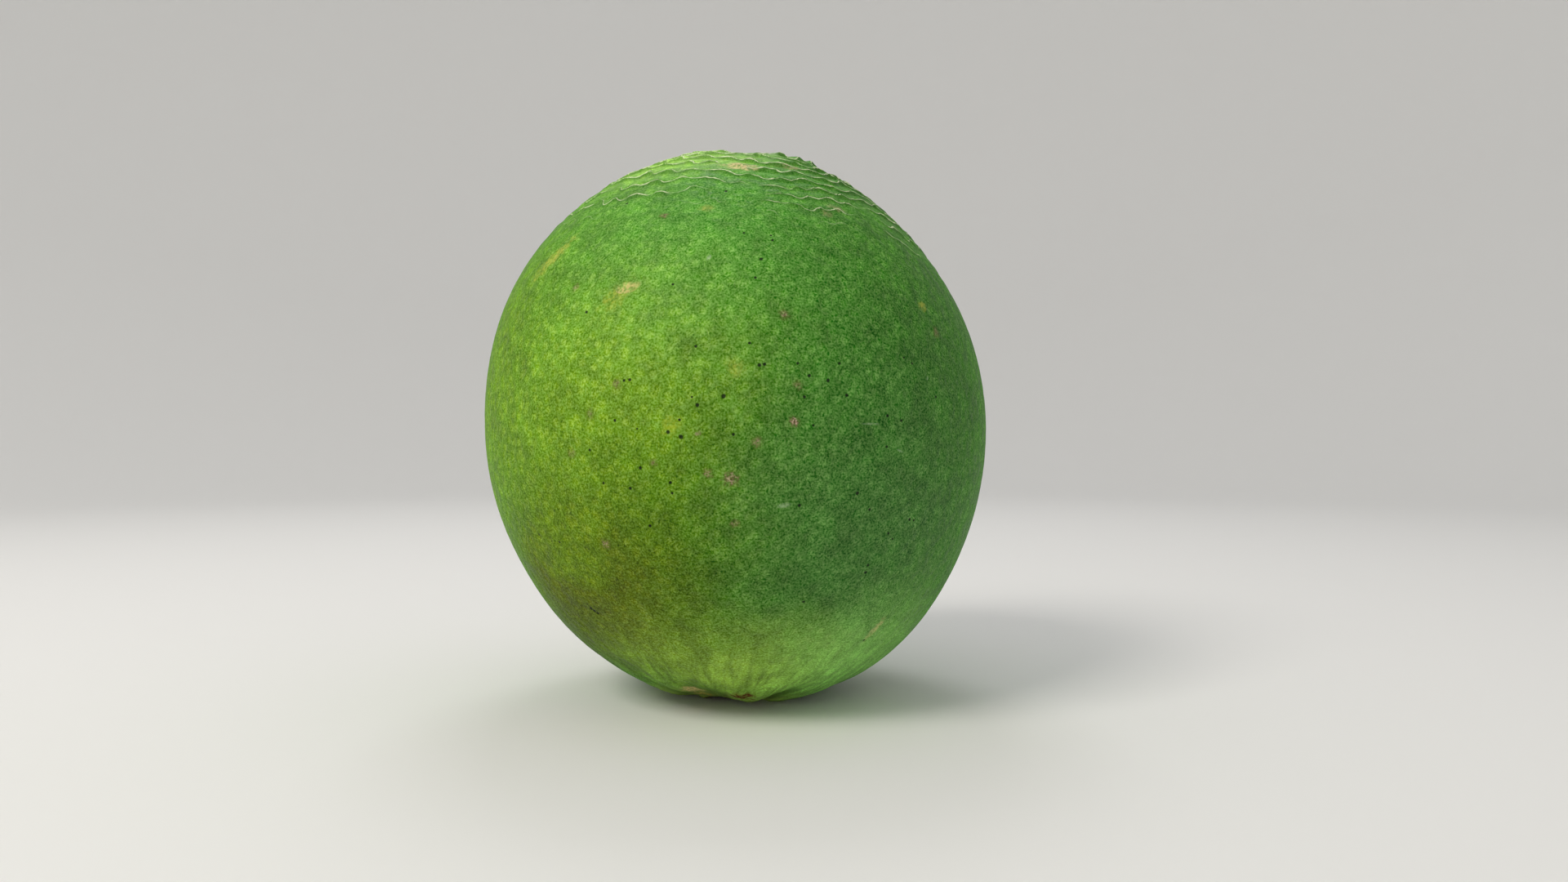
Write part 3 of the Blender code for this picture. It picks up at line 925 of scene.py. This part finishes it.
            share = addNode(tree, "Math", (share, patchy), operation="MULTIPLY")
        over = ramps[name] if name in ramps else linear(rind[name])
        colour = addNode(tree, "Mix", {0: share, 6: colour, 7: over}, **mixing)
        shown.setdefault(kind, share)
    tree.links.new(colour, shader.inputs["Base Color"])

    # Relief too fine for the mesh: the glands' pits, then the rest
    height = addNode(tree, "Math", (dots, -glands["pitDepth"]), operation="MULTIPLY")
    fields = {"crest": crest, "clouds": clouds, "grain": grain, "streaks": streakHeight, **shown}
    for name, tall in rind["reliefs"].items():
        height = addNode(tree, "Math", (fields[name], tall, height), operation="MULTIPLY_ADD")
    relief = addNode(tree, "Bump", {"Height": height, "Distance": mm, "Strength": 1.0})
    tree.links.new(relief, shader.inputs["Normal"])

    # Wax: shinier where the rind is darker and closed, duller on cork
    waxy = addNode(tree, "MapRange", (clouds, *noiseMiddle, *rind["roughness"]))
    cork = (shown["scars"], rind["scarRoughness"], waxy)
    waxy = addNode(tree, "Math", cork, operation="MULTIPLY_ADD")
    tree.links.new(waxy, shader.inputs["Roughness"])
    shader.inputs["IOR"].default_value = rind["refraction"]
    shader.inputs["Specular IOR Level"].default_value = rind["shine"]
    skin.data.materials.clear()
    skin.data.materials.append(material)
    print("rind: %d nodes" % len(tree.nodes))


# Studio: a pale seamless bowl, a soft key from the upper left, and a faint light from above and
# behind for the crown's ridges. Metres here, and watts.
studio = {
    "floorRadius": 0.45,
    "curveRadius": 0.35,
    "wallHeight": 0.9,
    "curveSteps": 12,
    "bowlSides": 96,
    "weld": 0.0001,  # the bowl's points at its middle become one
    "bowlColour": "#EAEAE9",
    "bowlRoughness": 0.9,
    "airColour": "#FFFFFF",
    "airStrength": 0.56,
    # Place, what it faces, size, watts and colour
    "lights": {
        "key": ((-0.32, -0.32, 0.42), (0.0, 0.0, 0.03), 0.22, 1.95, "#FFF9F0"),
        "crownLight": ((-0.02, 0.24, 0.42), (0.0, 0.0, 0.05), 0.16, 0.3, "#FFFFFF"),
    },
}


def makeStudio():
    flat, curve, top = studio["floorRadius"], studio["curveRadius"], studio["wallHeight"]
    outline = [(0.0, 0.0), (flat, 0.0)]
    for step in range(1, studio["curveSteps"] + 1):
        angle = math.radians(90.0 * step / studio["curveSteps"])
        outline.append((flat + curve * math.sin(angle), curve * (1.0 - math.cos(angle))))
    outline.append((flat + curve, top))
    mesh = bpy.data.meshes.new("studioBowl")
    edges = [(i, i + 1) for i in range(len(outline) - 1)]
    mesh.from_pydata([(x, 0.0, z) for x, z in outline], edges, [])
    bowl = bpy.data.objects.new("studioBowl", mesh)
    paint = bpy.data.materials.new("matteStudioPaint")  # rolled emulsion: even, draws no eye
    paint.use_nodes = True
    shader = paint.node_tree.nodes["Principled BSDF"]
    shader.inputs["Base Color"].default_value = linear(studio["bowlColour"])
    shader.inputs["Roughness"].default_value = studio["bowlRoughness"]
    mesh.materials.append(paint)
    turned = bowl.modifiers.new("turned", "SCREW")
    turned.steps = turned.render_steps = studio["bowlSides"]
    turned.use_merge_vertices = True
    turned.merge_threshold = studio["weld"]
    bpy.context.scene.collection.objects.link(bowl)
    for name, (place, faced, size, watts, hexValue) in studio["lights"].items():
        data = bpy.data.lights.new(name, "AREA")
        data.size = size
        data.energy = watts
        data.color = linear(hexValue)[:3]
        light = bpy.data.objects.new(name, data)
        light.location = place
        way = Vector(faced) - light.location
        light.rotation_euler = way.to_track_quat("-Z", "Y").to_euler()
        light.visible_camera = False
        bpy.context.scene.collection.objects.link(light)
    air = bpy.data.worlds.new("studioAir")
    air.use_nodes = True
    shader = air.node_tree.nodes["Background"]
    shader.inputs["Color"].default_value = linear(studio["airColour"])
    shader.inputs["Strength"].default_value = studio["airStrength"]
    bpy.context.scene.world = air
    bpy.context.scene.view_settings.view_transform = "Standard"
    print("studio: ready")


camera = makeCamera()
skin = makeSkin()
layMarks(skin, camera)
layGlands(skin)
waxedCitrusRind(skin, camera)
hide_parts("lemon")
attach(skin, "root")
makeStudio()
